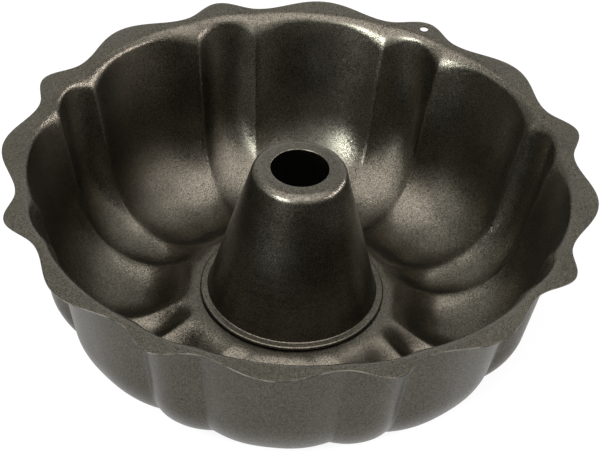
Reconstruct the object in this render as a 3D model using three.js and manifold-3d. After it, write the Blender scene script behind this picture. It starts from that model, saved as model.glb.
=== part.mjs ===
// Fluted tube pan, in millimetres, +Z up, standing on the plane z = 0 with its axis on Z.
// It is two steel pressings. The bowl is drawn with wide and narrow flutes by turns, under a flat
// wavy flange. The centre tube is a drawn cone, fixed in the bowl's hub by a bead folded above the
// sheet and an edge clinched outwards below it.

import * as THREE from 'three';
import { mergeVertices } from 'three/addons/utils/BufferGeometryUtils.js';
import Module from 'manifold-3d';

const { clamp, degToRad, lerp } = THREE.MathUtils;

// Sheet and seam
const SHEET = 0.7; // thickness of both pressings
const SEAM_GAP = 0.3; // clearance between the tube and the bowl, all round the seam

// Bowl, measured on its upper face
const RIM_HEIGHT = 83.2; // top of the flange above the bench
const RIDGE_RADIUS = 117; // wall on a ridge between flutes, carried up to the rim plane
const RIDGE_DRAFT = 12.6; // lean of the wall, degrees
const RIDGE_HAUNCH = 29; // reach of the bend from wall to floor
const RIDGE_HAUNCH_RISE = 36.5; // height of that bend
const RIDGE_SHOULDER = 10; // reach of the bend from flange to wall
const RIDGE_SHOULDER_DROP = 16; // height of that bend
const WALL_SOFTNESS = 0.2; // rounding of a ridge on the wall, as a share of the flute's depth
const HAUNCH_SOFTNESS = 0.07; // halfway round the haunch
const FLOOR_SOFTNESS = 0.38; // on the floor and the toe

// Flutes, as depths behind the ridges
const FLUTE_PAIRS = 8; // one wide and one narrow flute to a pair
const FLUTE_SHOULDER = 4.5; // radius of the bend from flange to wall
const WIDE_SPAN = 30.4; // angle of a wide flute from ridge to ridge, degrees
const WIDE_RIM_DEPTH = 3.4;
const WIDE_FLOOR_DEPTH = 3.6;
const WIDE_DRAFT = 11.3;
const WIDE_HAUNCH = 39;
const WIDE_HAUNCH_RISE = 45.2;
const WIDE_FULLNESS = 2.35; // power of the section's curve: 2 is a parabola, more is a fuller arch
const NARROW_RIM_DEPTH = 3.8;
const NARROW_FLOOR_DEPTH = 2.1;
const NARROW_DRAFT = 10.9;
const NARROW_HAUNCH = 40.5;
const NARROW_HAUNCH_RISE = 43.5;
const NARROW_FULLNESS = 2.1;

// Flat that each wide flute stands on
const FOOT_LENGTH = 2.5; // along the flute
const FOOT_WIDTH = 5; // across the flute

// Flange, as widths beyond the wall
const WIDE_FLANGE = 12.2; // at the middle of a wide flute
const TIP_FLANGE = 12.2; // at the tip over a narrow flute
const VALLEY_FLANGE = 8.3; // at the valley, beyond the ridge beside it
const VALLEY_INSET = 1.9; // the valley lies this far inside the ridge, degrees
const WIDE_LOBE_POWER = 0.95; // under 1 broadens a lobe of the outline, over 1 sharpens it
const TIP_LOBE_POWER = 1.25;
const HANG_HOLE_RADIUS = 2;
const HANG_HOLE_INSET = 5.1; // from the flange's tip to the middle of the hole

// Hub, the flat that carries the tube
const HUB_HEIGHT = 15.2; // upper face above the bench
const HUB_MARGIN = 2.2; // flat ring left round the bead
const TOE_EASE = 0.45; // how softly a flute's toe leaves the floor, as a share of its length
const HUB_EASE = 0.32; // how softly it meets the hub

// Centre tube, measured on its outer face
const TUBE_RISE = 3.8; // top above the flange
const TUBE_TOP_RADIUS = 20.7; // cone carried up to the top
const TUBE_TOP_RING = 7.7; // from there in to the edge of the hole in the flat top
const TUBE_TOP_ROUND = 3.5;
const TUBE_BASE_RADIUS = 38.6; // cone carried down to the top of the bead
const TUBE_BASE_FILLET = 0.65;
const BEAD_WIDTH = 3.45; // beyond the cone
const BEAD_SLIT = 0.3; // left between the two layers of the folded bead
const NECK_STEP = 1.1; // the neck stands this far inside the cone's foot
const CLINCH_WIDTH = 4; // clinched edge, beyond the neck

// Facets
const STEPS = [1, 4, 1, 6, 1, 5, 1]; // along flange, shoulder, wall, haunch, floor, toe and hub
const HAUNCH_STATION = 3; // the haunch's place among those stretches
const WIDE_STEPS = 4; // across half a wide flute
const NARROW_STEPS = 3; // across half a narrow flute
const TUBE_SIDES = 40;
const HOLE_SIDES = 16;
const FOLD_STEP = degToRad(45); // largest turn of one facet in the tube's folds

// Worked out from the sizes above
const HALF_SHEET = SHEET / 2;
const PAIR_ANGLE = (2 * Math.PI) / FLUTE_PAIRS;
const RIDGE_ANGLE = degToRad(WIDE_SPAN) / 2;
const TIP_ANGLE = PAIR_ANGLE / 2;
const VALLEY_ANGLE = RIDGE_ANGLE - degToRad(VALLEY_INSET);
const RIDGE_FLOOR = SHEET + WIDE_FLOOR_DEPTH;
const WIDE_EDGE = RIDGE_RADIUS + WIDE_RIM_DEPTH + WIDE_FLANGE;
const TIP_EDGE = RIDGE_RADIUS + NARROW_RIM_DEPTH + TIP_FLANGE;
const VALLEY_EDGE = RIDGE_RADIUS + VALLEY_FLANGE;
const BEAD_RADIUS = TUBE_BASE_RADIUS + BEAD_WIDTH;
const NECK_RADIUS = TUBE_BASE_RADIUS - NECK_STEP;
const HUB_HOLE_RADIUS = NECK_RADIUS + SEAM_GAP;
const HUB_RADIUS = BEAD_RADIUS + HUB_MARGIN;
const TUBE_HEIGHT = RIM_HEIGHT + TUBE_RISE - HUB_HEIGHT;

// A meridian of the bowl's upper face, as a list of plane curves in radius and height: shoulder,
// drafted wall, haunch, floor, toe and hub. Every meridian has the same list, so points pair up.
function meridian({ wall, draft, floor, haunch, haunchRise, shoulder, shoulderDrop }) {
  const lean = degToRad(draft);
  const onWall = (height) => new THREE.Vector2(wall - (RIM_HEIGHT - height) * Math.tan(lean), height);
  const turnAtWall = (reach, height) => Math.atan2(height * Math.sin(lean), reach * Math.cos(lean));
  const haunchTurn = turnAtWall(haunch, haunchRise);
  const wallFoot = onWall(floor + haunchRise * (1 - Math.sin(haunchTurn)));
  const bend = new THREE.Vector2(wallFoot.x - haunch * Math.cos(haunchTurn), floor + haunchRise);
  const browHeight = RIM_HEIGHT - shoulderDrop;
  const browTurn = turnAtWall(shoulder, shoulderDrop);
  const wallTop = onWall(browHeight + shoulderDrop * Math.sin(browTurn));
  const brow = new THREE.Vector2(wallTop.x + shoulder * Math.cos(browTurn), browHeight);
  const floorStart = new THREE.Vector2(bend.x, floor);
  const floorEnd = new THREE.Vector2(bend.x - FOOT_LENGTH, floor);
  const hubEdge = new THREE.Vector2(HUB_RADIUS, HUB_HEIGHT);
  const hubHole = new THREE.Vector2(HUB_HOLE_RADIUS, HUB_HEIGHT);
  const toe = floorEnd.x - hubEdge.x;
  const toeStart = new THREE.Vector2(floorEnd.x - toe * TOE_EASE, floor);
  const toeEnd = new THREE.Vector2(hubEdge.x + toe * HUB_EASE, HUB_HEIGHT);
  return [
    new THREE.EllipseCurve(
      brow.x, brow.y, shoulder, shoulderDrop, Math.PI / 2, Math.PI - browTurn,
    ),
    new THREE.LineCurve(wallTop, wallFoot),
    new THREE.EllipseCurve(
      bend.x, bend.y, haunch, haunchRise, -haunchTurn, -Math.PI / 2, true,
    ),
    new THREE.LineCurve(floorStart, floorEnd),
    new THREE.CubicBezierCurve(floorEnd, toeStart, toeEnd, hubEdge),
    new THREE.LineCurve(hubEdge, hubHole),
  ];
}

const ridge = meridian({
  wall: RIDGE_RADIUS,
  draft: RIDGE_DRAFT,
  floor: RIDGE_FLOOR,
  haunch: RIDGE_HAUNCH,
  haunchRise: RIDGE_HAUNCH_RISE,
  shoulder: RIDGE_SHOULDER,
  shoulderDrop: RIDGE_SHOULDER_DROP,
});
const wide = meridian({
  wall: RIDGE_RADIUS + WIDE_RIM_DEPTH,
  draft: WIDE_DRAFT,
  floor: SHEET,
  haunch: WIDE_HAUNCH,
  haunchRise: WIDE_HAUNCH_RISE,
  shoulder: FLUTE_SHOULDER,
  shoulderDrop: FLUTE_SHOULDER,
});
const narrow = meridian({
  wall: RIDGE_RADIUS + NARROW_RIM_DEPTH,
  draft: NARROW_DRAFT,
  floor: RIDGE_FLOOR - NARROW_FLOOR_DEPTH,
  haunch: NARROW_HAUNCH,
  haunchRise: NARROW_HAUNCH_RISE,
  shoulder: FLUTE_SHOULDER,
  shoulderDrop: FLUTE_SHOULDER,
});
const [, , , wideFloor] = wide;
const FOOT_ANGLE = FOOT_WIDTH / 2 / wideFloor.getPoint(0.5).x;

// Rounding of the ridges at a station. The sheet is bent to much the same radius all along a ridge,
// so the rounding is a smaller share of the depth where the flutes are wide and shallow.
function ridgeSoftness(station) {
  const down = 2 * clamp(station - HAUNCH_STATION, 0, 1);
  return down < 1
    ? lerp(WALL_SOFTNESS, HAUNCH_SOFTNESS, down)
    : lerp(HAUNCH_SOFTNESS, FLOOR_SOFTNESS, down - 1);
}

// Share of a flute's depth, from 1 at its middle to 0 at the ridge, where share runs from 0 to 1.
function fluteDepth(share, fullness, softness) {
  const arch = 1 - share ** fullness;
  const soften = (value) => Math.hypot(value, softness) - softness;
  return soften(arch) / soften(1);
}

// Radius of the flange's edge, at an angle from the middle of the nearest wide flute.
function flangeEdge(offset) {
  const lobe = (share, power) => ((1 + Math.cos(Math.PI * share)) / 2) ** power;
  if (offset < VALLEY_ANGLE) {
    return lerp(VALLEY_EDGE, WIDE_EDGE, lobe(offset / VALLEY_ANGLE, WIDE_LOBE_POWER));
  }
  const share = (TIP_ANGLE - offset) / (TIP_ANGLE - VALLEY_ANGLE);
  return lerp(VALLEY_EDGE, TIP_EDGE, lobe(share, TIP_LOBE_POWER));
}

// Point of the bowl's upper face. The station runs from 0 at the flange's edge, through 1 where the
// shoulder starts, to the number of stretches at the hub's hole.
function upperPoint(angle, station) {
  const offset = Math.abs(angle - PAIR_ANGLE * Math.round(angle / PAIR_ANGLE));
  const inWide = offset < RIDGE_ANGLE;
  const flute = inWide ? wide : narrow;
  const share = inWide
    ? Math.max(0, offset - FOOT_ANGLE) / (RIDGE_ANGLE - FOOT_ANGLE)
    : (TIP_ANGLE - offset) / (TIP_ANGLE - RIDGE_ANGLE);
  const fullness = inWide ? WIDE_FULLNESS : NARROW_FULLNESS;
  const depth = fluteDepth(share, fullness, ridgeSoftness(station));
  const stretch = Math.min(Math.floor(station), STEPS.length - 1);
  const curve = Math.max(stretch - 1, 0);
  const along = stretch > 0 ? station - stretch : 0;
  const point = ridge[curve].getPoint(along).lerp(flute[curve].getPoint(along), depth);
  if (stretch === 0) {
    point.x = lerp(flangeEdge(offset), point.x, station);
  }
  return new THREE.Vector3(point.x * Math.cos(angle), point.x * Math.sin(angle), point.y);
}

// Point of the lower face, one sheet thickness from the upper one and square to it.
function lowerPoint(angle, station) {
  const nudge = 1e-3;
  const before = upperPoint(angle, Math.max(station - nudge, 0));
  const after = upperPoint(angle, Math.min(station + nudge, STEPS.length));
  const down = after.sub(before);
  const round = upperPoint(angle + nudge, station).sub(upperPoint(angle - nudge, station));
  return upperPoint(angle, station).addScaledVector(down.cross(round).normalize(), SHEET);
}

// Angles of the bowl's facets, closer over the narrow flutes, with one on every ridge.
function bowlAngles() {
  const half = [0];
  for (let i = 0; i <= WIDE_STEPS; i++) {
    half.push(lerp(FOOT_ANGLE, RIDGE_ANGLE, i / WIDE_STEPS));
  }
  for (let i = 1; i < NARROW_STEPS; i++) {
    half.push(lerp(RIDGE_ANGLE, TIP_ANGLE, i / NARROW_STEPS));
  }
  const mirrored = half.slice(1).map((offset) => PAIR_ANGLE - offset).reverse();
  const pair = [...half, TIP_ANGLE, ...mirrored];
  const starts = Array.from({ length: FLUTE_PAIRS }, (_, i) => i * PAIR_ANGLE);
  return starts.flatMap((start) => pair.map((offset) => start + offset));
}

// Stations of the bowl's facets, each stretch cut into its own number of steps.
function bowlStations() {
  const stations = [0];
  STEPS.forEach((steps, stretch) => {
    for (let i = 1; i <= steps; i++) {
      stations.push(stretch + i / steps);
    }
  });
  return stations;
}

// Loft of the bowl: an upper and a lower skin, joined at the flange's edge and at the hub's hole.
function bowlGeometry() {
  const angles = bowlAngles();
  const stations = bowlStations();
  const rows = [
    ...stations.map((station) => angles.map((angle) => upperPoint(angle, station))),
    ...stations.toReversed().map((station) => angles.map((angle) => lowerPoint(angle, station))),
  ];
  const index = [];
  rows.forEach((_, row) => {
    const here = row * angles.length;
    const next = ((row + 1) % rows.length) * angles.length;
    angles.forEach((__, column) => {
      const beside = (column + 1) % angles.length;
      index.push(here + column, here + beside, next + column);
      index.push(next + column, here + beside, next + beside);
    });
  });
  const geometry = new THREE.BufferGeometry().setFromPoints(rows.flat());
  return geometry.setIndex(index);
}

// Section of the tube as the middle line of its sheet, with height 0 on the hub's upper face: flat
// top, rounded edge, cone, folded bead, neck through the hub and edge clinched beneath it.
function tubeMiddleLine() {
  const foldRadius = (SHEET + BEAD_SLIT) / 2;
  const seamBend = SEAM_GAP + HALF_SHEET;
  const lowerLayer = SEAM_GAP + HALF_SHEET;
  const upperLayer = lowerLayer + 2 * foldRadius;
  const beadTop = upperLayer + HALF_SHEET;
  const top = TUBE_HEIGHT - HALF_SHEET;
  const lean = Math.atan((TUBE_BASE_RADIUS - TUBE_TOP_RADIUS) / (TUBE_HEIGHT - beadTop));
  const coneRadius = (height, outwards) =>
    TUBE_BASE_RADIUS - (height - beadTop) * Math.tan(lean) + outwards / Math.cos(lean);

  const topRound = TUBE_TOP_ROUND - HALF_SHEET;
  const topCentre = new THREE.Vector2(coneRadius(top - topRound, -TUBE_TOP_ROUND), top - topRound);
  const fillet = TUBE_BASE_FILLET + HALF_SHEET;
  const filletHeight = upperLayer + fillet;
  const filletCentre = new THREE.Vector2(coneRadius(filletHeight, TUBE_BASE_FILLET), filletHeight);
  const foldCentre = new THREE.Vector2(BEAD_RADIUS - foldRadius - HALF_SHEET, upperLayer - foldRadius);

  const line = new THREE.Path();
  line.moveTo(TUBE_TOP_RADIUS - TUBE_TOP_RING, top);
  line.lineTo(topCentre.x, top);
  line.absarc(topCentre.x, topCentre.y, topRound, Math.PI / 2, lean, true);
  line.absarc(filletCentre.x, filletCentre.y, fillet, Math.PI + lean, 1.5 * Math.PI, false);
  line.absarc(foldCentre.x, foldCentre.y, foldRadius, Math.PI / 2, -Math.PI / 2, true);
  line.absarc(HUB_HOLE_RADIUS, 0, seamBend, Math.PI / 2, Math.PI, false);
  line.absarc(HUB_HOLE_RADIUS, -SHEET, seamBend, Math.PI, 1.5 * Math.PI, false);
  line.lineTo(NECK_RADIUS + CLINCH_WIDTH, -SHEET - seamBend);
  return line;
}

// Closed section of a bent sheet: the points of both faces, half a sheet either side of its middle.
function sheetSection(middleLine) {
  const faces = { left: [], right: [] };
  for (const curve of middleLine.curves) {
    const turn = curve.isEllipseCurve ? Math.abs(curve.aEndAngle - curve.aStartAngle) : 0;
    const steps = Math.max(1, Math.ceil(turn / FOLD_STEP));
    for (let i = faces.left.length ? 1 : 0; i <= steps; i++) {
      const point = curve.getPoint(i / steps);
      const tangent = curve.getTangent(i / steps);
      const leftward = new THREE.Vector2(-tangent.y, tangent.x);
      faces.left.push(point.clone().addScaledVector(leftward, HALF_SHEET));
      faces.right.push(point.clone().addScaledVector(leftward, -HALF_SHEET));
    }
  }
  return [...faces.right, ...faces.left.reverse(), faces.right[0]];
}

function tubeGeometry() {
  const geometry = new THREE.LatheGeometry(sheetSection(tubeMiddleLine()), TUBE_SIDES);
  return geometry.rotateX(Math.PI / 2);
}

// Joins a geometry's doubled points, so that its surface is closed.
function welded(geometry) {
  geometry.deleteAttribute('normal');
  geometry.deleteAttribute('uv');
  return mergeVertices(geometry);
}

const wasm = await Module();
wasm.setup();

function solid(geometry) {
  const closed = welded(geometry);
  return new wasm.Manifold(new wasm.Mesh({
    numProp: 3,
    vertProperties: new Float32Array(closed.attributes.position.array),
    triVerts: new Uint32Array(closed.index.array),
  }));
}

function surface(manifold) {
  const { vertProperties, triVerts } = manifold.getMesh();
  const geometry = new THREE.BufferGeometry();
  geometry.setAttribute('position', new THREE.BufferAttribute(vertProperties, 3));
  return geometry.setIndex(new THREE.BufferAttribute(triVerts, 1));
}

// The bowl, with the hole that the pan hangs by drilled through the tip of one narrow flute.
function panShell() {
  const drillAngle = TIP_ANGLE + PAIR_ANGLE;
  const drillRadius = TIP_EDGE - HANG_HOLE_INSET;
  const drillLength = 2 * FLUTE_SHOULDER;
  const drill = new THREE.CylinderGeometry(
    HANG_HOLE_RADIUS, HANG_HOLE_RADIUS, drillLength, HOLE_SIDES,
  );
  drill.rotateX(Math.PI / 2);
  drill.translate(
    drillRadius * Math.cos(drillAngle), drillRadius * Math.sin(drillAngle), RIM_HEIGHT,
  );
  return surface(solid(bowlGeometry()).subtract(solid(drill)));
}

function piece(name, geometry, color) {
  const coating = new THREE.MeshStandardMaterial({ color, roughness: 0.42, metalness: 0.55 });
  geometry.computeVertexNormals();
  const mesh = new THREE.Mesh(geometry, coating);
  mesh.name = name;
  return mesh;
}

const shell = piece('pan_shell', panShell(), '#5b554c');
const tube = piece('centre_tube', welded(tubeGeometry()), '#54504a');
tube.position.z = HUB_HEIGHT;

const pan = new THREE.Group();
pan.name = 'fluted_tube_pan';
pan.add(shell, tube);

export default pan;
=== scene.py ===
# %% [markdown]
# # A fluted tube pan
# The pan is two steel pressings with a dark metallic coating. The bowl is drawn with wide and
# narrow flutes by turns, under a flat wavy flange. The centre tube is a cone that lets heat into
# the middle of the cake, and it is folded and clinched into the bowl's hub.
#
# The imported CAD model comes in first, as a frame that is never moved. It says where each piece
# belongs and how big it is. The pieces below are finer versions of its two solids.

# %% Load the frame
import math

import bpy
from mathutils import Matrix, Vector
from mathutils.geometry import interpolate_bezier


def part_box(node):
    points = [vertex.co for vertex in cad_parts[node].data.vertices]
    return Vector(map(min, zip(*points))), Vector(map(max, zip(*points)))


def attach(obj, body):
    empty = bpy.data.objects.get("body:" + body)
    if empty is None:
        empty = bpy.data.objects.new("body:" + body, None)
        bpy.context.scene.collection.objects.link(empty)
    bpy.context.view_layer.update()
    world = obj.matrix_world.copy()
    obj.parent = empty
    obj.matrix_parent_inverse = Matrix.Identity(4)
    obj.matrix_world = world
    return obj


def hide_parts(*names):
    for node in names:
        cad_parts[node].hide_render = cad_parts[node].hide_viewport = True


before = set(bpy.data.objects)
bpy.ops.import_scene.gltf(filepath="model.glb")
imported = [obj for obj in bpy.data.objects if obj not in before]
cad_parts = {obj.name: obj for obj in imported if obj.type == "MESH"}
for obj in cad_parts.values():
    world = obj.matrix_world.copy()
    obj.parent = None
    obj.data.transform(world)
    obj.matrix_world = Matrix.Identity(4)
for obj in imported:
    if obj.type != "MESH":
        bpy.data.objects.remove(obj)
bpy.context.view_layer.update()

MM = 0.001  # Blender works in metres, and the pan's sizes are written in millimetres

print("CAD nodes:", sorted(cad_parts))

# %% [markdown]
# ## The camera
# The photograph looks down into the pan at about 40 degrees, through a long lens, so the far rim is
# almost as wide as the near one. The camera was also held slightly crooked, which is why the pan
# seems to lean. A camera that is aimed at a point with `to_track_quat` stands upright, so the lean
# is one more turn about the camera's own Z axis.

# %% Set the camera
CAMERA_PLACE = Vector((0.0418, -0.8668, 0.7927))
CAMERA_AIM = Vector((0.0034, -0.0347, 0.0832))
CAMERA_LEAN = math.radians(3.98)
LENS = 152.1  # millimetres
SENSOR = 36  # width, millimetres

lens = bpy.data.cameras.new("photo_camera")
lens.lens = LENS
lens.sensor_width = SENSOR
camera = bpy.data.objects.new("photo_camera", lens)
aim = (CAMERA_AIM - CAMERA_PLACE).to_track_quat("-Z", "Y").to_matrix()
lean = Matrix.Rotation(CAMERA_LEAN, 3, "Z")
camera.matrix_world = Matrix.Translation(CAMERA_PLACE) @ (aim @ lean).to_4x4()
bpy.context.scene.collection.objects.link(camera)
bpy.context.scene.camera = camera
distance = (CAMERA_PLACE - CAMERA_AIM).length
print(f"camera {distance:.2f} m from the rim, lens {LENS} mm")

# %% [markdown]
# ## A short way to wire nodes
# Materials and Geometry Nodes are both node trees. Adding a node, setting it and linking its inputs
# takes several lines each time, so this helper does it in one. A value that is a socket is linked,
# and any other value is set on the input.

# %% Helper for node trees


class Wiring:
    """Adds nodes to one tree, each with its settings and inputs in a single line."""

    def __init__(self, tree):
        self.tree = tree

    def feed(self, socket, value):
        """Links a socket to an input, or sets any other value on it."""
        if isinstance(value, bpy.types.NodeSocket):
            self.tree.links.new(value, socket)
        else:
            socket.default_value = value

    def add(self, kind, *values, **settings):
        """A new node with its settings, and with values for its inputs in their order."""
        node = self.tree.nodes.new(kind)
        for name, value in settings.items():
            setattr(node, name, value)
        in_use = [socket for socket in node.inputs if socket.enabled]
        for socket, value in zip(in_use, values):
            self.feed(socket, value)
        return node

    def math(self, operation, *values):
        """The result of one sum on numbers."""
        return self.add("ShaderNodeMath", *values, operation=operation).outputs[0]

    def vector(self, operation, *values):
        """The result of one sum on vectors."""
        return self.add("ShaderNodeVectorMath", *values, operation=operation).outputs[0]

    def scaled(self, vector, factor):
        """A vector or colour times a number."""
        node = self.add("ShaderNodeVectorMath", vector, operation="SCALE")
        self.feed(node.inputs["Scale"], factor)
        return node.outputs[0]

    def between(self, value, start, end, low, high):
        """value, carried from the range start..end to the range low..high and held inside it."""
        return self.add("ShaderNodeMapRange", value, start, end, low, high).outputs[0]


# %% [markdown]
# ## Studio light
# The coating is nearly a mirror for broad shapes, so what it reflects is what we see. The flange
# and the outside wall reflect a white sweep behind and below the pan, and come out a mid grey. To
# either side the room is dimmer, which draws the flutes apart.
#
# A sweep could be modelled as a curved sheet. Here it is the world itself, which has no edges to
# hide. `Light Path` lets it be white for the camera and in reflections, while it sends a lower level
# of light on to matt surfaces.

# %% Set the white sweep
FILL_LEVEL = 0.4  # light that the sweep sends on to matt surfaces
SIDE_LEVEL = 0.5  # what the coating reflects from the far left and right
DIM_FROM = 0.6  # how far to a side a direction points where the sweep starts to dim
DIM_TO = 0.95  # and where it has become SIDE_LEVEL

scene = bpy.context.scene
scene.view_settings.view_transform = "Standard"


def mirrored_rays(wiring):
    """1 for a ray that a mirror or glass passes on, and otherwise 0."""
    path = wiring.add("ShaderNodeLightPath").outputs
    return wiring.math("MAXIMUM", path["Is Glossy Ray"], path["Is Transmission Ray"])


def camera_rays(wiring):
    """1 for a ray that comes straight from the camera, and otherwise 0."""
    return wiring.add("ShaderNodeLightPath").outputs["Is Camera Ray"]


sweep = bpy.data.worlds.new("white_sweep")
sweep.use_nodes = True
wiring = Wiring(sweep.node_tree)
background = sweep.node_tree.nodes["Background"]
background.inputs["Color"].default_value = (1, 1, 1, 1)
direction = wiring.add("ShaderNodeTexCoord").outputs["Generated"]
sideways = wiring.math("ABSOLUTE", wiring.add("ShaderNodeSeparateXYZ", direction).outputs["X"])
reflected = wiring.between(sideways, DIM_FROM, DIM_TO, 1, SIDE_LEVEL)
not_camera = wiring.between(mirrored_rays(wiring), 0, 1, FILL_LEVEL, reflected)
strength = wiring.between(camera_rays(wiring), 0, 1, not_camera, 1)
wiring.feed(background.inputs["Strength"], strength)
scene.world = sweep
print(f"sweep: 1 for the camera, {SIDE_LEVEL} to 1 in reflections, {FILL_LEVEL} on matt surfaces")

# %% [markdown]
# Five lamps make the rest of what the coating reflects. A big soft box overhead lights the bottom
# of the bowl and the top of the tube. A small strong lamp at the front left makes the bright patch
# at the back, and a wide dim box beside it fills in the flutes round that patch. From the right
# come a box for the flutes at the left, and a long low strip that draws a thin line along their
# shoulders.
#
# An area lamp's brightness in a reflection is its power over its area and pi. So the lamps are
# given by how bright they look beside the white sweep, and the power is worked out from that.

# %% Set the lamps


def soft_box(name, azimuth, elevation, distance, size, brightness, colour=(1, 1, 1)):
    """A flat lamp that faces the pan. Azimuth 0 is in front of the pan and 90 to its right."""
    width, height = size
    turn = math.radians(azimuth)
    rise = math.radians(elevation)
    level = math.cos(rise)
    place = distance * Vector((math.sin(turn) * level, -math.cos(turn) * level, math.sin(rise)))
    light = bpy.data.lights.new(name, "AREA")
    light.shape = "RECTANGLE"
    light.size = width
    light.size_y = height
    light.energy = brightness * math.pi * width * height
    light.color = colour
    lamp = bpy.data.objects.new(name, light)
    lamp.location = place
    lamp.rotation_mode = "QUATERNION"
    lamp.rotation_quaternion = (-place).to_track_quat("-Z", "Y")
    scene.collection.objects.link(lamp)
    print(f"{name}: {light.energy:.1f} W, {distance} m from the pan")


soft_box(
    "overhead_box",
    azimuth=6,
    elevation=68,
    distance=1.5,
    size=(2.5, 1.9),
    brightness=2.25,
    colour=(1, 0.95, 0.98),
)
soft_box(
    "left_lamp",
    azimuth=-29,
    elevation=25,
    distance=1.3,
    size=(0.42, 0.36),
    brightness=40,
    colour=(0.9, 0.97, 1),
)
soft_box(
    "left_box",
    azimuth=-60,
    elevation=30,
    distance=1.5,
    size=(1.2, 0.8),
    brightness=0.9,
)
soft_box(
    "right_box",
    azimuth=76,
    elevation=28,
    distance=1.5,
    size=(0.6, 0.8),
    brightness=1.5,
    colour=(1, 0.93, 0.98),
)
soft_box(
    "right_strip",
    azimuth=98,
    elevation=12,
    distance=1.5,
    size=(1.5, 0.13),
    brightness=22,
    colour=(1, 0.94, 0.98),
)

# %% [markdown]
# ## The floor
# The pan stands on white paper. A part of the paper's white is a matt colour, which follows the
# lamps and takes the pan's shadow. The rest is a glow, for the same rays that see the sweep as
# white: all of it for the camera, and a share of it in reflections, because near the pan the paper
# has less light than the sweep. Under the pan the glow fades out, as a painted shadow, so the tube
# stays dark inside.

# %% Lay the floor
FLOOR_HALF = 3.0  # metres from the pan's axis to the paper's edge
PAPER_MATT = 0.14  # the white that follows the lamps
PAPER_GLOW = 0.88
PAPER_MIRRORED = 0.66  # share of the glow that shows in a reflection
# Inside GLOW_FULL the glow fades, a painted shadow under the pan.
GLOW_FROM = 0.04  # metres from the pan's axis to where the glow starts
GLOW_FULL = 0.09  # and to where it is full

paper = bpy.data.materials.new("white_paper")
paper.use_nodes = True
wiring = Wiring(paper.node_tree)
shader = paper.node_tree.nodes["Principled BSDF"]
shader.inputs["Base Color"].default_value = (PAPER_MATT, PAPER_MATT, PAPER_MATT, 1)
shader.inputs["Roughness"].default_value = 0.9
shader.inputs["Specular IOR Level"].default_value = 0.1
shader.inputs["Emission Color"].default_value = (1, 1, 1, 1)
on_paper = wiring.add("ShaderNodeTexCoord").outputs["Object"]
from_pan = wiring.add("ShaderNodeVectorMath", on_paper, operation="LENGTH").outputs["Value"]
# Painted shadow: the glow fades to nothing under the pan, where the floor lies in shade.
glow = wiring.between(from_pan, GLOW_FROM, GLOW_FULL, 0, PAPER_GLOW)
mirrored = wiring.math("MULTIPLY", mirrored_rays(wiring), PAPER_MIRRORED)
seen = wiring.math("MAXIMUM", camera_rays(wiring), mirrored)
wiring.feed(shader.inputs["Emission Strength"], wiring.math("MULTIPLY", glow, seen))

floor_mesh = bpy.data.meshes.new("floor")
corners = [(-1, -1), (1, -1), (1, 1), (-1, 1)]
floor_mesh.from_pydata([(x * FLOOR_HALF, y * FLOOR_HALF, 0) for x, y in corners], [], [range(4)])
floor_mesh.materials.append(paper)
floor = bpy.data.objects.new("floor", floor_mesh)
scene.collection.objects.link(floor)
print(f"floor {2 * FLOOR_HALF:.0f} m wide, at the height that the pan stands on")

# %% [markdown]
# ## The coating
# The steel is coated dark grey with fine metal flakes in it. From close by each flake is a speck a
# fifth of a millimetre across, with a brightness of its own. It also lies at a slight tilt of its
# own, so that highlights glitter. From further away the flakes give a soft grain.
#
# A Voronoi texture gives every cell a random colour, which is just what flakes need: red becomes
# the brightness, green the gloss, and all three together the tilt. A larger noise makes the gloss
# uneven, as sprayed and baked coatings are. An image texture would need an unwrapped bowl and would
# blur from close by, so both patterns are worked out from the place on the object.
#
# The base colour is set by the flakes, so it goes through nodes. What is the same all over, such as
# the metallic share, is set on the shader itself, where an export keeps it.

# %% Helper for the coating
NOISE_RANGE = (0.3, 0.7)  # most values of a noise texture lie in it
FLAKE = 0.19 * MM  # from one flake to the next
FLAKE_LEVELS = (0, 2)  # brightness of the darkest and the brightest flake, beside the mean
FLAKE_GLOSS = 0.05  # how far the roughness of a flake may lie from the rest
FLAKE_TILT = 0.17  # spread of the flakes' normals, beside a normal of length 1
CLOUD = 28 * MM  # from one patch of uneven gloss to the next
CLOUD_LEVELS = (0.93, 1.07)  # brightness of the patches, beside the mean
ROUGHNESS = (0.26, 0.32)  # of the patches
RING_STRETCH = (12, 12, 900)  # a noise drawn out round the tube and about 1 mm high


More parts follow.
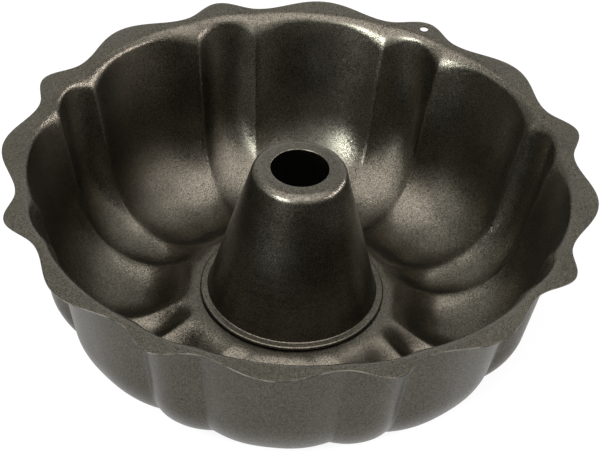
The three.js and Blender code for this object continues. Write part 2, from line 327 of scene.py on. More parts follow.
def coated_steel(name, colour, streaks=0.0):
    """A coating of that colour, with flakes, and with faint rings where a tube was drawn."""
    material = bpy.data.materials.new(name)
    material.use_nodes = True
    wiring = Wiring(material.node_tree)
    shader = material.node_tree.nodes["Principled BSDF"]
    place = wiring.add("ShaderNodeTexCoord").outputs["Object"]

    flakes = wiring.add("ShaderNodeTexVoronoi")
    wiring.feed(flakes.inputs["Vector"], place)
    flakes.inputs["Scale"].default_value = 1 / FLAKE
    flake = wiring.add("ShaderNodeSeparateColor", flakes.outputs["Color"]).outputs

    clouds = wiring.add("ShaderNodeTexNoise")
    wiring.feed(clouds.inputs["Vector"], place)
    clouds.inputs["Scale"].default_value = 1 / CLOUD
    clouds.inputs["Detail"].default_value = 3
    cloud = clouds.outputs["Fac"]

    brightness = wiring.math(
        "MULTIPLY",
        wiring.between(flake["Red"], 0, 1, *FLAKE_LEVELS),
        wiring.between(cloud, *NOISE_RANGE, *CLOUD_LEVELS),
    )
    gloss = wiring.math(
        "ADD",
        wiring.between(flake["Green"], 0, 1, -FLAKE_GLOSS, FLAKE_GLOSS),
        wiring.between(cloud, *NOISE_RANGE, *ROUGHNESS),
    )
    if streaks:
        rings = wiring.add("ShaderNodeTexNoise")
        stretched = wiring.vector("MULTIPLY", place, RING_STRETCH)
        wiring.feed(rings.inputs["Vector"], stretched)
        rings.inputs["Scale"].default_value = 1
        ring = wiring.between(rings.outputs["Fac"], *NOISE_RANGE, -streaks, streaks)
        brightness = wiring.math("MULTIPLY_ADD", brightness, ring, brightness)

    wiring.feed(shader.inputs["Base Color"], wiring.scaled(colour, brightness))
    wiring.feed(shader.inputs["Roughness"], gloss)
    shader.inputs["Metallic"].default_value = 1

    mean_colour = (0.5, 0.5, 0.5)  # of the cells' random colours
    upright = wiring.add("ShaderNodeNewGeometry").outputs["Normal"]
    aside = wiring.vector("SUBTRACT", flakes.outputs["Color"], mean_colour)
    leaning = wiring.vector("ADD", upright, wiring.scaled(aside, FLAKE_TILT))
    tilted = wiring.vector("NORMALIZE", leaning)
    wiring.feed(shader.inputs["Normal"], tilted)
    return material


# %% [markdown]
# ## Three finishes
# The bowl and the tube have the same kind of coating, in two slightly different greys. The tube
# also has faint rings, from the die that drew it.

# %% Coat the bowl and the tube
BOWL_GREY = (0.096, 0.088, 0.069)
TUBE_GREY = (0.100, 0.092, 0.073)
RING_CONTRAST = 0.12  # of the faint rings on the tube

bowl_coating = coated_steel("flaked_bowl_coating", BOWL_GREY)
tube_coating = coated_steel("flaked_tube_coating", TUBE_GREY, streaks=RING_CONTRAST)
print("coatings:", bowl_coating.name, tube_coating.name)

# %% [markdown]
# The sheet is coated before it is pressed, so where it was cut afterwards, at the edge of the flange
# and of every hole, the steel shows as a thin bright line. A mask on the coating could draw that
# line, but a material of its own stays sharp from close by. It has duller stretches where the cut
# left a burr.

# %% Make the cut steel
STEEL_GREY = (0.26, 0.245, 0.21)
BURR = 9 * MM  # length of the bright and dull stretches
BURR_RANGE = (0.42, 0.62)  # a narrow part of the noise, so that the stretches end clearly
DULL_SHARE = 0.2  # brightness of the dull stretches, beside the bright ones
CUT_ROUGHNESS = (0.55, 0.3)  # of the dull and the bright stretches

cut_steel = bpy.data.materials.new("cut_steel")
cut_steel.use_nodes = True
wiring = Wiring(cut_steel.node_tree)
shader = cut_steel.node_tree.nodes["Principled BSDF"]
shader.inputs["Metallic"].default_value = 1
burr = wiring.add("ShaderNodeTexNoise")
wiring.feed(burr.inputs["Vector"], wiring.add("ShaderNodeTexCoord").outputs["Object"])
burr.inputs["Scale"].default_value = 1 / BURR
burr.inputs["Detail"].default_value = 4
shine = wiring.between(burr.outputs["Fac"], *BURR_RANGE, DULL_SHARE, 1)
wiring.feed(shader.inputs["Base Color"], wiring.scaled(STEEL_GREY, shine))
roughness = wiring.between(burr.outputs["Fac"], *NOISE_RANGE, *CUT_ROUGHNESS)
wiring.feed(shader.inputs["Roughness"], roughness)
print("raw edges:", cut_steel.name)

# %% [markdown]
# ## The pan's sizes
# The frame already holds the sizes that show in a box: the height of the rim and the tube, and the
# reach of the flange and the bead. The rest are sizes of curves inside those boxes, so they are
# written here, on the upper face of the bowl and the outer face of the tube.

# %% Read and write down the sizes
_, shell_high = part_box("pan_shell")
_, tube_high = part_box("centre_tube")

SHEET = 0.7 * MM
SEAM_GAP = 0.3 * MM  # between the tube and the bowl, all round the seam
RIM_HEIGHT = shell_high.z
TUBE_TOP = tube_high.z
BEAD_RADIUS = tube_high.x
WIDE_EDGE = shell_high.x  # the flange's edge at the middle of a wide flute
HUB_HEIGHT = 15.2 * MM
HUB_RADIUS = BEAD_RADIUS + 2.2 * MM
HUB_HOLE_RADIUS = 37.8 * MM
print(f"rim {RIM_HEIGHT / MM:.1f}, tube {TUBE_TOP / MM:.1f}, bead {BEAD_RADIUS / MM:.2f} mm")

# %% [markdown]
# ## Three lines of the bowl
# Cut the bowl through its axis and the cut shows one line from the rim to the hub: a rounded
# shoulder, a leaning wall, a big bend called the haunch, a short flat to stand on, a toe that climbs
# to the hub, and the flat hub itself. Only three such lines are needed: one on a ridge, one down the
# middle of a wide flute and one down a narrow flute. They have the same number of points, so every
# place between them can be mixed from two of them.
#
# The haunches, and the shoulder of a ridge, are parts of an oval that is higher than it is wide.
# The lines could be drawn as curves by hand. As chains of points they keep to the sizes, and a
# helper mesh holds each of them, with the radius along X and the height along Z.

# %% Helpers that draw lines


def oval_arc(centre, reach, drop, start, end, steps):
    """Points on an oval from one angle to another, both ends included."""
    turns = [start + (end - start) * i / steps for i in range(steps + 1)]
    return [centre + Vector((reach * math.cos(turn), drop * math.sin(turn))) for turn in turns]


def arc(centre, radius, start, end, steps):
    """Points on a round arc, both ends included."""
    return oval_arc(centre, radius, radius, start, end, steps)


def inner_points(start, end, steps):
    """Points that cut a straight line into steps, both ends left out."""
    return [start.lerp(end, i / steps) for i in range(1, steps)]


def line_object(name, line):
    """A helper object that holds a line, for Geometry Nodes to read."""
    mesh = bpy.data.meshes.new(name)
    links = [(i, i + 1) for i in range(len(line) - 1)]
    mesh.from_pydata([(point.x, 0, point.y) for point in line], links, [])
    helper = bpy.data.objects.new(name, mesh)
    scene.collection.objects.link(helper)
    return helper


# %% Helper for one line of the bowl
STEPS = {"shoulder": 8, "wall": 8, "haunch": 24, "floor": 2, "toe": 18, "hub": 2}
FOOT_LENGTH = 2.5 * MM
TOE_EASE = 0.45  # how softly the toe leaves the floor, as a share of its length
HUB_EASE = 0.32  # how softly it meets the hub


def bowl_line(wall, draft, floor_height, haunch, haunch_rise, shoulder, shoulder_drop):
    """The bowl's line for a wall that leans by draft and would meet the rim at radius wall."""
    lean = math.radians(draft)

    def on_wall(height):
        return Vector((wall - (RIM_HEIGHT - height) * math.tan(lean), height))

    def turn_at_wall(reach, height):
        """The place on an oval, as an angle, where it is as steep as the wall."""
        return math.atan2(height * math.sin(lean), reach * math.cos(lean))

    haunch_turn = turn_at_wall(haunch, haunch_rise)
    wall_foot = on_wall(floor_height + haunch_rise * (1 - math.sin(haunch_turn)))
    bend = Vector((wall_foot.x - haunch * math.cos(haunch_turn), floor_height + haunch_rise))
    brow_height = RIM_HEIGHT - shoulder_drop
    brow_turn = turn_at_wall(shoulder, shoulder_drop)
    wall_top = on_wall(brow_height + shoulder_drop * math.sin(brow_turn))
    brow = Vector((wall_top.x + shoulder * math.cos(brow_turn), brow_height))
    floor_start = Vector((bend.x, floor_height))
    floor_end = Vector((bend.x - FOOT_LENGTH, floor_height))
    hub_edge = Vector((HUB_RADIUS, HUB_HEIGHT))
    hub_hole = Vector((HUB_HOLE_RADIUS, HUB_HEIGHT))
    toe_length = Vector((floor_end.x - hub_edge.x, 0))

    line = oval_arc(
        brow, shoulder, shoulder_drop, math.pi / 2, math.pi - brow_turn, STEPS["shoulder"]
    )
    line += inner_points(line[-1], wall_foot, STEPS["wall"])
    line += oval_arc(bend, haunch, haunch_rise, -haunch_turn, -math.pi / 2, STEPS["haunch"])
    line += inner_points(floor_start, floor_end, STEPS["floor"])
    toe_start = floor_end - TOE_EASE * toe_length
    toe = (floor_end, toe_start, hub_edge + HUB_EASE * toe_length, hub_edge)
    line += [point.to_2d() for point in interpolate_bezier(*toe, STEPS["toe"] + 1)]
    line += inner_points(hub_edge, hub_hole, STEPS["hub"])
    return line + [hub_hole]


# %% [markdown]
# The flutes lie a few millimetres outside the ridges, at the rim and on the floor, and their walls
# are steeper. The wide flutes reach lowest, and the pan stands on them.

# %% Draw the three lines
RIDGE_RADIUS = 117 * MM
WIDE_RIM_DEPTH = 3.4 * MM
WIDE_FLOOR_DEPTH = 3.6 * MM
NARROW_RIM_DEPTH = 3.8 * MM
NARROW_FLOOR_DEPTH = 2.1 * MM
FLUTE_SHOULDER = 4.5 * MM
RIDGE_FLOOR = SHEET + WIDE_FLOOR_DEPTH  # so that the wide flutes' lower face is on the bench

ridge = bowl_line(
    RIDGE_RADIUS,
    draft=12.6,
    floor_height=RIDGE_FLOOR,
    haunch=29 * MM,
    haunch_rise=36.5 * MM,
    shoulder=10 * MM,
    shoulder_drop=16 * MM,
)
wide_radius = RIDGE_RADIUS + WIDE_RIM_DEPTH
wide = bowl_line(
    wide_radius,
    draft=11.3,
    floor_height=SHEET,
    haunch=39 * MM,
    haunch_rise=45.2 * MM,
    shoulder=FLUTE_SHOULDER,
    shoulder_drop=FLUTE_SHOULDER,
)
narrow_radius = RIDGE_RADIUS + NARROW_RIM_DEPTH
narrow = bowl_line(
    narrow_radius,
    draft=10.9,
    floor_height=RIDGE_FLOOR - NARROW_FLOOR_DEPTH,
    haunch=40.5 * MM,
    haunch_rise=43.5 * MM,
    shoulder=FLUTE_SHOULDER,
    shoulder_drop=FLUTE_SHOULDER,
)
ridge_line = line_object("ridge_line", ridge)
wide_line = line_object("wide_line", wide)
narrow_line = line_object("narrow_line", narrow)
line_points = len(ridge_line.data.vertices)
print(f"three lines of {line_points} points each")

# %% [markdown]
# ## The fluted bowl, by a rule
# Sixteen flutes that follow one rule are a job for Geometry Nodes. A flat grid is bent into the
# bowl: its columns become angles round the axis, and its rows become places along the lines above.
# Every point needs two things. How far round is it from the middle of its flute? That gives a depth,
# from 0 on the ridge to 1 in the middle, and the point is mixed from the ridge line and the flute's
# line by that depth. How far down is it? That is its row, which picks the points of the lines.
#
# One pair of flutes could also be modelled by hand and copied round by an Array, but each new size
# would mean moving points again. A rule changes all sixteen flutes at once. The tree's inputs are
# the sizes that a maker would change.

# %% Start the tree and its inputs
BOWL_INPUTS = {
    "NodeSocketObject": ["Ridge Line", "Wide Line", "Narrow Line"],
    "NodeSocketInt": [
        "Line Points",
        "Flange Rows",
        "Flute Pairs",
        "Wide Columns",
        "Narrow Columns",
        "Wall End",
        "Haunch Middle",
        "Floor Start",
    ],
    "NodeSocketFloat": [
        "Ridge Crowding",
        "Ridge Angle",
        "Foot Angle",
        "Wall Softness",
        "Haunch Softness",
        "Floor Softness",
        "Wide Fullness",
        "Narrow Fullness",
        "Valley Angle",
        "Valley Edge",
        "Wide Edge",
        "Tip Edge",
        "Wide Lobe Power",
        "Tip Lobe Power",
    ],
    "NodeSocketMaterial": ["Coating"],
}
bowl_tree = bpy.data.node_groups.new("fluted_bowl", "GeometryNodeTree")
bowl_tree.is_modifier = True
bowl_tree.interface.new_socket("Geometry", in_out="OUTPUT", socket_type="NodeSocketGeometry")
identifiers = {}
for kind, names in BOWL_INPUTS.items():
    for name in names:
        socket = bowl_tree.interface.new_socket(name, in_out="INPUT", socket_type=kind)
        identifiers[name] = socket.identifier
wiring = Wiring(bowl_tree)
size = wiring.add("NodeGroupInput").outputs
print(f"fluted_bowl tree with {len(identifiers)} inputs")

# %% [markdown]
# The grid counts its points column by column, so the column and the row come from a point's index.
# Half a point is added before the division, so that rounding can't move a point to another column.
# `PINGPONG` folds the columns: it counts up from the middle of a wide flute to the middle of the
# narrow one beside it, and down again, so each flute is mirrored without more nodes.

# %% Find each point's column and row
half_pair = wiring.math("ADD", size["Wide Columns"], size["Narrow Columns"])
pair_columns = wiring.math("MULTIPLY", half_pair, 2)
columns = wiring.math("MULTIPLY", pair_columns, size["Flute Pairs"])
rows = wiring.math("ADD", size["Line Points"], size["Flange Rows"])
grid = wiring.add("GeometryNodeMeshGrid", 1, 1, wiring.math("ADD", columns, 1), rows)

index = wiring.add("GeometryNodeInputIndex").outputs[0]
column = wiring.math("FLOOR", wiring.math("DIVIDE", wiring.math("ADD", index, 0.5), rows))
row = wiring.math("SUBTRACT", index, wiring.math("MULTIPLY", column, rows))
pair = wiring.math("ROUND", wiring.math("DIVIDE", column, pair_columns))
past_wide = wiring.math("SUBTRACT", column, wiring.math("MULTIPLY", pair, pair_columns))
from_wide = wiring.math("PINGPONG", column, half_pair)
print(f"{len(bowl_tree.nodes)} nodes with the columns and rows")

# %% [markdown]
# The sheet bends most on the ridges, so the columns crowd together towards them. A power of the
# count does that: it is flat at the ridge and steep at the middle of the flute.

# %% Turn the columns into angles
pair_angle = wiring.math("DIVIDE", 2 * math.pi, size["Flute Pairs"])
tip_angle = wiring.math("DIVIDE", pair_angle, 2)


def crowded(count, middle, ridge):
    """1 in the middle of a flute and 0 on the ridge, changing slowly beside the ridge."""
    return wiring.math(
        "POWER", wiring.between(count, middle, ridge, 1, 0), size["Ridge Crowding"]
    )


to_ridge = crowded(from_wide, 0, size["Wide Columns"])
past_ridge = crowded(from_wide, half_pair, size["Wide Columns"])
wide_offset = wiring.between(to_ridge, 1, 0, 0, size["Ridge Angle"])
narrow_offset = wiring.between(past_ridge, 0, 1, size["Ridge Angle"], tip_angle)
in_wide = wiring.add(
    "FunctionNodeCompare", from_wide, size["Wide Columns"], operation="LESS_EQUAL"
).outputs[0]
offset = wiring.add(
    "GeometryNodeSwitch", in_wide, narrow_offset, wide_offset, input_type="FLOAT"
).outputs[0]
signed_offset = wiring.math("MULTIPLY", offset, wiring.math("SIGN", past_wide))
angle = wiring.math("MULTIPLY_ADD", pair, pair_angle, signed_offset)
print(f"{len(bowl_tree.nodes)} nodes with the angles")

# %% [markdown]
# Across a flute the section is an arch: one minus a power of the distance from its middle. Where
# two arches meet they would make a knife edge, and sheet steel can't be bent that sharply, so the
# foot of the arch is rounded like a hyperbola, the root of depth² + softness².
#
# The die rounds a ridge about equally from the rim to the floor, while the flutes beside it deepen
# and then fade. The softness is a share of the flute's depth, so it changes by the row: it is small
# on the haunch, where the flutes are deep, and large on the floor, where they are shallow.

# %% Find the depth in the flute
line_row = wiring.math("MAXIMUM", wiring.math("SUBTRACT", row, size["Flange Rows"]), 0)
upper_half = wiring.between(line_row, size["Wall End"], size["Haunch Middle"], 0, 1)
lower_half = wiring.between(line_row, size["Haunch Middle"], size["Floor Start"], 0, 1)
upper_softness = wiring.between(upper_half, 0, 1, size["Wall Softness"], size["Haunch Softness"])
softness = wiring.between(lower_half, 0, 1, upper_softness, size["Floor Softness"])
softness_squared = wiring.math("MULTIPLY", softness, softness)


def softened(value):
    """value, with the corner at zero rounded."""
    squared = wiring.math("MULTIPLY_ADD", value, value, softness_squared)
    return wiring.math("SUBTRACT", wiring.math("SQRT", squared), softness)


def flute_depth(share, fullness):
    """1 in the middle of a flute, where share is 0, and 0 on the ridge, where share is 1."""
    arch = wiring.math("SUBTRACT", 1, wiring.math("POWER", share, fullness))
    return wiring.math("DIVIDE", softened(arch), softened(1))


wide_share = wiring.between(offset, size["Foot Angle"], size["Ridge Angle"], 0, 1)
narrow_share = wiring.between(offset, tip_angle, size["Ridge Angle"], 0, 1)
depth = wiring.add(
    "GeometryNodeSwitch",
    in_wide,
    flute_depth(narrow_share, size["Narrow Fullness"]),
    flute_depth(wide_share, size["Wide Fullness"]),
    input_type="FLOAT",
).outputs[0]
print(f"{len(bowl_tree.nodes)} nodes with the depth")

# %% [markdown]
# `Sample Index` reads the point of a line that belongs to a row. The rows of the flange all read the
# first point, where the shoulder starts, and are spread outwards in the next step.

# %% Mix the lines
position = wiring.add("GeometryNodeInputPosition").outputs[0]


def point_on(line):
    """The point of a helper line that belongs to this row."""
    points = wiring.add("GeometryNodeObjectInfo", line).outputs["Geometry"]
    sample = wiring.add("GeometryNodeSampleIndex", data_type="FLOAT_VECTOR", clamp=True)
    wiring.feed(sample.inputs["Geometry"], points)
    wiring.feed(sample.inputs["Value"], position)
    wiring.feed(sample.inputs["Index"], line_row)
    return sample.outputs[0]


on_ridge = point_on(size["Ridge Line"])
in_flute = wiring.add(
    "GeometryNodeSwitch",
    in_wide,
    point_on(size["Narrow Line"]),
    point_on(size["Wide Line"]),
    input_type="VECTOR",
).outputs[0]
step = wiring.vector("SUBTRACT", in_flute, on_ridge)
mixed_point = wiring.vector("ADD", on_ridge, wiring.scaled(step, depth))
mixed = wiring.add("ShaderNodeSeparateXYZ", mixed_point).outputs
print(f"{len(bowl_tree.nodes)} nodes with the mixed lines")

# %% [markdown]
# Seen from above, the flange swings out in a broad lobe over each wide flute and in a pointed tip
# over each narrow one. Half a cosine wave is 1 at the middle of a lobe and 0 in the valley, with a
# level start and end. A power makes it broader or sharper.

# %% Draw the flange's outline


def lobe(middle, power, edge):
    """How far a lobe of the outline stands out from the valleys, at each point."""
    share = wiring.between(offset, middle, size["Valley Angle"], 0, math.pi)
    wave = wiring.math("MULTIPLY_ADD", wiring.math("COSINE", share), 0.5, 0.5)
    reach = wiring.math("SUBTRACT", edge, size["Valley Edge"])
    return wiring.math("MULTIPLY", wiring.math("POWER", wave, power), reach)


wide_lobe = lobe(0, size["Wide Lobe Power"], size["Wide Edge"])
tip_lobe = lobe(tip_angle, size["Tip Lobe Power"], size["Tip Edge"])
edge = wiring.math("ADD", size["Valley Edge"], wiring.math("ADD", wide_lobe, tip_lobe))
radius = wiring.between(row, 0, size["Flange Rows"], edge, mixed["X"])
print(f"{len(bowl_tree.nodes)} nodes with the flange")

# %% [markdown]
# Now every point has an angle, a radius and a height. The grid is bent round, its two ends are
# welded where they meet, and the tree ends with the material.

# %% Bend the grid into the bowl
WELD = 0.01 * MM  # points closer than this become one

bent = wiring.add(
    "ShaderNodeCombineXYZ",
    wiring.math("MULTIPLY", radius, wiring.math("COSINE", angle)),
    wiring.math("MULTIPLY", radius, wiring.math("SINE", angle)),
    mixed["Z"],
)
bowl_skin = wiring.add("GeometryNodeSetPosition")
wiring.feed(bowl_skin.inputs["Geometry"], grid.outputs["Mesh"])
wiring.feed(bowl_skin.inputs["Position"], bent.outputs[0])
welded = wiring.add("GeometryNodeMergeByDistance", bowl_skin.outputs[0])
welded.inputs["Distance"].default_value = WELD
real = wiring.add("GeometryNodeRealizeInstances", welded.outputs[0])
coated = wiring.add("GeometryNodeSetMaterial", real.outputs[0])
wiring.feed(coated.inputs["Material"], size["Coating"])
wiring.add("NodeGroupOutput", coated.outputs[0])
print(f"fluted_bowl tree with {len(bowl_tree.nodes)} nodes")

# %% [markdown]
# ## From rule to mesh
# The tree runs as a modifier on an empty mesh. Its inputs are set by their identifiers, before the
# object is evaluated for the first time. `new_from_object` then keeps the result as a plain mesh, so
# that later steps can work on it.

# %% Helper that keeps what modifiers make


def settle(obj):
    """Replaces an object's mesh by what its modifiers make of it, and removes them."""
    graph = bpy.context.evaluated_depsgraph_get()
    made = bpy.data.meshes.new_from_object(obj.evaluated_get(graph), depsgraph=graph)
    obj.modifiers.clear()
    obj.data = made
    made.name = obj.name
    for slot in reversed(range(len(made.materials))):
        if made.materials[slot] is None:  # a grid brings an empty slot of its own
            made.materials.pop(index=slot)


# %% Press the bowl
FLUTE_PAIRS = 8
WIDE_SPAN = 30.4  # angle of a wide flute from ridge to ridge, degrees
VALLEY_INSET = 1.9  # the flange's valley lies this far inside the ridge, degrees
FOOT_WIDTH = 5 * MM
TIP_EDGE = narrow_radius + 12.2 * MM  # the flange's edge at the middle of a narrow flute
VALLEY_EDGE = RIDGE_RADIUS + 8.3 * MM  # and where it is narrowest

wall_end = STEPS["shoulder"] + STEPS["wall"]
foot_radius = min(wide_line.data.vertices, key=lambda vertex: vertex.co.z).co.x
bowl_sizes = {
    "Ridge Line": ridge_line,
    "Wide Line": wide_line,
    "Narrow Line": narrow_line,
    "Line Points": line_points,
    "Flange Rows": 4,
    "Flute Pairs": FLUTE_PAIRS,
    "Wide Columns": 20,
    "Narrow Columns": 14,
    "Ridge Crowding": 1.5,
    "Ridge Angle": math.radians(WIDE_SPAN / 2),
    "Foot Angle": FOOT_WIDTH / 2 / foot_radius,
    "Wall End": wall_end,
    "Haunch Middle": wall_end + STEPS["haunch"] // 2,
    "Floor Start": wall_end + STEPS["haunch"],
    "Wall Softness": 0.2,
    "Haunch Softness": 0.07,
    "Floor Softness": 0.38,
    "Wide Fullness": 2.35,
    "Narrow Fullness": 2.1,
    "Valley Angle": math.radians(WIDE_SPAN / 2 - VALLEY_INSET),
    "Valley Edge": VALLEY_EDGE,
    "Wide Edge": WIDE_EDGE,
    "Tip Edge": TIP_EDGE,
    "Wide Lobe Power": 0.95,
    "Tip Lobe Power": 1.25,
    "Coating": bowl_coating,
}
bowl = bpy.data.objects.new("fluted_bowl", bpy.data.meshes.new("fluted_bowl"))
scene.collection.objects.link(bowl)
pressing = bowl.modifiers.new("pressing", "NODES")
pressing.node_group = bowl_tree
for name, value in bowl_sizes.items():
    pressing[identifiers[name]] = value
settle(bowl)
for helper in (ridge_line, wide_line, narrow_line):
    bpy.data.objects.remove(helper)
print(f"bowl skin: {len(bowl.data.vertices)} points, {len(bowl.data.polygons)} faces")

# %% [markdown]
# ## Sheet and raw edge
# So far the bowl is a skin. It could be extruded along its normals, but `Solidify` also keeps the
# thickness even in the bends. It works below the upper face, and puts cut steel on the raw edges by
# a material offset. A small `Bevel` takes the knife edge off them.

# %% Give the bowl its sheet
EASED_EDGE = 0.12 * MM
RAW_CORNER = math.radians(60)  # a sharper turn than any bend of the sheet


def ease_edges(obj):
    """Takes the knife edge off an object's raw edges."""
    bevel = obj.modifiers.new("eased_edge", "BEVEL")
    bevel.width = EASED_EDGE
    bevel.segments = 2
    bevel.limit_method = "ANGLE"
    bevel.angle_limit = RAW_CORNER
    settle(obj)


bowl.data.materials.append(cut_steel)
sheet = bowl.modifiers.new("sheet", "SOLIDIFY")
sheet.thickness = SHEET
sheet.offset = -1
sheet.use_even_offset = True
sheet.material_offset_rim = 1
ease_edges(bowl)
raw_faces = sum(face.material_index for face in bowl.data.polygons)
print(f"bowl sheet: {len(bowl.data.polygons)} faces, {raw_faces} of them on raw edges")

# %% [markdown]
# ## The hanging hole
# One tip of the flange has a hole to hang the pan by. Faces of the grid could be deleted for it, but
# its edge would then follow the grid. A `Boolean` cuts it round, as a drill would. The drill's own
# second material is the cut steel, and the hole takes it over by its number.

# %% Drill the hanging hole
HOLE_RADIUS = 2 * MM
HOLE_INSET = 5.1 * MM  # from the tip of the flange to the middle of the hole
HOLE_ANGLE = 1.5 * 2 * math.pi / FLUTE_PAIRS  # the tip of the second narrow flute
HOLE_SIDES = 40
DRILL_REACH = 3 * SHEET  # the drill's ends above and below the rim

drill_mesh = bpy.data.meshes.new("drill")
rim_turns = [2 * math.pi * i / HOLE_SIDES for i in range(HOLE_SIDES)]
hole_centre = (TIP_EDGE - HOLE_INSET) * Vector((math.cos(HOLE_ANGLE), math.sin(HOLE_ANGLE)))
rim = [hole_centre + HOLE_RADIUS * Vector((math.cos(turn), math.sin(turn))) for turn in rim_turns]
heights = (RIM_HEIGHT - DRILL_REACH, RIM_HEIGHT + DRILL_REACH)
sides = [(i, (i + 1) % HOLE_SIDES) for i in range(HOLE_SIDES)]
drill_mesh.from_pydata(
    [(point.x, point.y, height) for height in heights for point in rim],
    [],
    [(i, j, HOLE_SIDES + j, HOLE_SIDES + i) for i, j in sides]
    + [range(HOLE_SIDES, 2 * HOLE_SIDES), range(HOLE_SIDES - 1, -1, -1)],
)
for finish in (bowl_coating, cut_steel):
    drill_mesh.materials.append(finish)
for face in drill_mesh.polygons:
    face.material_index = 1
drill = bpy.data.objects.new("drill", drill_mesh)
scene.collection.objects.link(drill)

drilling = bowl.modifiers.new("hanging_hole", "BOOLEAN")
drilling.operation = "DIFFERENCE"
drilling.object = drill
settle(bowl)
bpy.data.objects.remove(drill)
print(f"drilled bowl: {len(bowl.data.polygons)} faces")

# %% [markdown]
# ## The centre tube
# The tube is turned from one section: a flat top with a hole, a rounded edge, a long cone, a bead
# folded flat on the hub, a neck through the hub's hole and an edge clinched outwards beneath. The
# punch that makes the hole draws the sheet down before it cuts, so the hole's upper edge is rounded
# and catches the light.

# %% Size the tube
TUBE_TOP_RADIUS = 20.7 * MM  # the cone carried up to the top
TUBE_TOP_RING = 7.7 * MM  # from there in to the edge of the hole
TUBE_HOLE_ROUND = 0.5 * MM  # the hole's upper edge
TUBE_TOP_ROUND = 4.7 * MM  # slightly softer than the CAD model's, as the highlight shows
TUBE_BASE_RADIUS = BEAD_RADIUS - 3.45 * MM  # the cone carried down to the bead
TUBE_BASE_FILLET = 0.65 * MM
BEAD_SLIT = 0.3 * MM  # between the two layers of the bead
CLINCH_REACH = 4 * MM - SEAM_GAP  # clinched edge beyond the hub's hole

half_sheet = SHEET / 2
fold = (SHEET + BEAD_SLIT) / 2
seam_bend = SEAM_GAP + half_sheet
upper_layer = HUB_HEIGHT + seam_bend + 2 * fold
bead_top = upper_layer + half_sheet
tube_top = TUBE_TOP - half_sheet
tube_hole = TUBE_TOP_RADIUS - TUBE_TOP_RING
cone_lean = math.atan((TUBE_BASE_RADIUS - TUBE_TOP_RADIUS) / (TUBE_TOP - bead_top))


def cone_radius(height, outwards):
    """Radius at a distance outwards from the cone's outer face."""
    down = (height - bead_top) * math.tan(cone_lean)
    return TUBE_BASE_RADIUS - down + outwards / math.cos(cone_lean)


top_round = TUBE_TOP_ROUND - half_sheet
fillet = TUBE_BASE_FILLET + half_sheet
top_centre = Vector((cone_radius(tube_top - top_round, -TUBE_TOP_ROUND), tube_top - top_round))
fillet_height = upper_layer + fillet
fillet_centre = Vector((cone_radius(fillet_height, TUBE_BASE_FILLET), fillet_height))
fold_centre = Vector((BEAD_RADIUS - fold - half_sheet, upper_layer - fold))
hub_upper = Vector((HUB_HOLE_RADIUS, HUB_HEIGHT))
hub_lower = Vector((HUB_HOLE_RADIUS, HUB_HEIGHT - SHEET))
clinch_height = hub_lower.y - seam_bend
print(f"tube hole {2 * tube_hole / MM:.1f} mm, cone leans {math.degrees(cone_lean):.1f} degrees")

# %% [markdown]
# The section of a bent sheet is its middle line with half a sheet on either side. On a bend to the
# right the outer face has the larger radius, and on a bend to the left the smaller one.

# %% Draw the tube's section
TUBE_STEPS = {"hole": 6, "top": 12, "cone": 24, "fillet": 10, "fold": 14, "neck": 8}


def tube_face(side):
    """One face of the tube's sheet, from the top hole to the clinched edge, at that distance to the
    left of the middle line."""
    right, up, left, down = 0, math.pi / 2, math.pi, 1.5 * math.pi
    face = [Vector((tube_hole, tube_top + side))]
    face += arc(top_centre, top_round + side, up, right + cone_lean, TUBE_STEPS["top"])
    cone_start = face[-1]
    foot = arc(fillet_centre, fillet - side, left + cone_lean, down, TUBE_STEPS["fillet"])
    face += inner_points(cone_start, foot[0], TUBE_STEPS["cone"]) + foot
    face += arc(fold_centre, fold + side, up, -up, TUBE_STEPS["fold"])
    face += arc(hub_upper, seam_bend - side, up, left, TUBE_STEPS["neck"])
    face += arc(hub_lower, seam_bend - side, left, down, TUBE_STEPS["neck"])
    return face + [Vector((HUB_HOLE_RADIUS + CLINCH_REACH, clinch_height + side))]


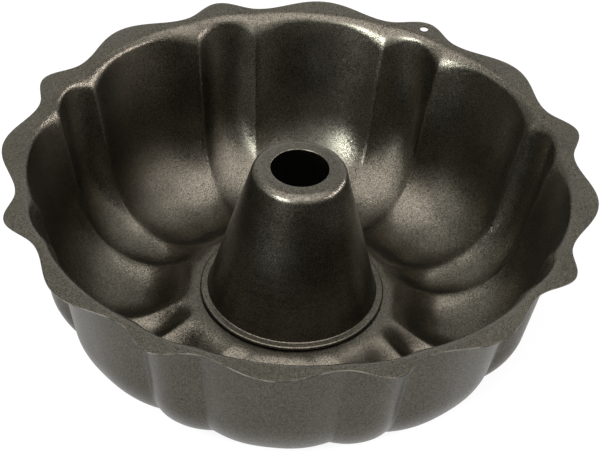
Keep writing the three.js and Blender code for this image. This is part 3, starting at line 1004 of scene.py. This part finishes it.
round_centre = Vector((tube_hole + TUBE_HOLE_ROUND, TUBE_TOP - TUBE_HOLE_ROUND))
hole_edge = arc(round_centre, TUBE_HOLE_ROUND, math.pi, math.pi / 2, TUBE_STEPS["hole"])
outer_face = hole_edge + tube_face(half_sheet)[1:]
tube_section = outer_face + tube_face(-half_sheet)[::-1]
print(f"tube section: {len(tube_section)} points")

# %% [markdown]
# A turned part could be made with the Screw modifier. Here the section is turned in a short
# function, so that the faces on its two raw edges are known and can be given the cut steel.

# %% Turn the tube
TUBE_SIDES = 192


def lathe(name, section, sides):
    """An object turned round the Z axis from a closed section of radius and height."""
    count = len(section)
    turns = [2 * math.pi * i / sides for i in range(sides)]
    points = [
        (point.x * math.cos(turn), point.x * math.sin(turn), point.y)
        for turn in turns
        for point in section
    ]
    faces = [
        (i * count + j, i * count + k, beside * count + k, beside * count + j)
        for i, beside in ((i, (i + 1) % sides) for i in range(sides))
        for j, k in ((j, (j + 1) % count) for j in range(count))
    ]
    mesh = bpy.data.meshes.new(name)
    mesh.from_pydata(points, [], faces)
    turned = bpy.data.objects.new(name, mesh)
    scene.collection.objects.link(turned)
    return turned


tube = lathe("tube_cone", tube_section, TUBE_SIDES)
raw_edges = (len(outer_face) - 1, len(tube_section) - 1)
for face in tube.data.polygons:
    face.material_index = int(face.index % len(tube_section) in raw_edges)
for finish in (tube_coating, cut_steel):
    tube.data.materials.append(finish)
ease_edges(tube)
print(f"tube: {len(tube.data.polygons)} faces")

# %% [markdown]
# ## Smooth where it is drawn, sharp where it is cut
# Pressed steel shades smoothly round its bends, but a raw edge should catch the light on its own.
# Edges that turn by more than a set angle are marked sharp, and all other faces are smoothed.
#
# Then each piece is tied to the frame: the body that it moves with and the CAD solid that it
# stands for.

# %% Shade the pieces and tie them to the frame
SHARP_TURN = math.radians(28)

for piece, node, slot in (
    (bowl, "pan_shell", "bowl_coating"),
    (tube, "centre_tube", "tube_coating"),
):
    piece.data.shade_smooth()
    piece.data.set_sharp_from_angle(angle=SHARP_TURN)
    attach(piece, "root")
    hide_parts(node)
    triangles = sum(len(face.vertices) - 2 for face in piece.data.polygons)
    print(f"{piece.name}: {triangles} triangles, stands for {node}")
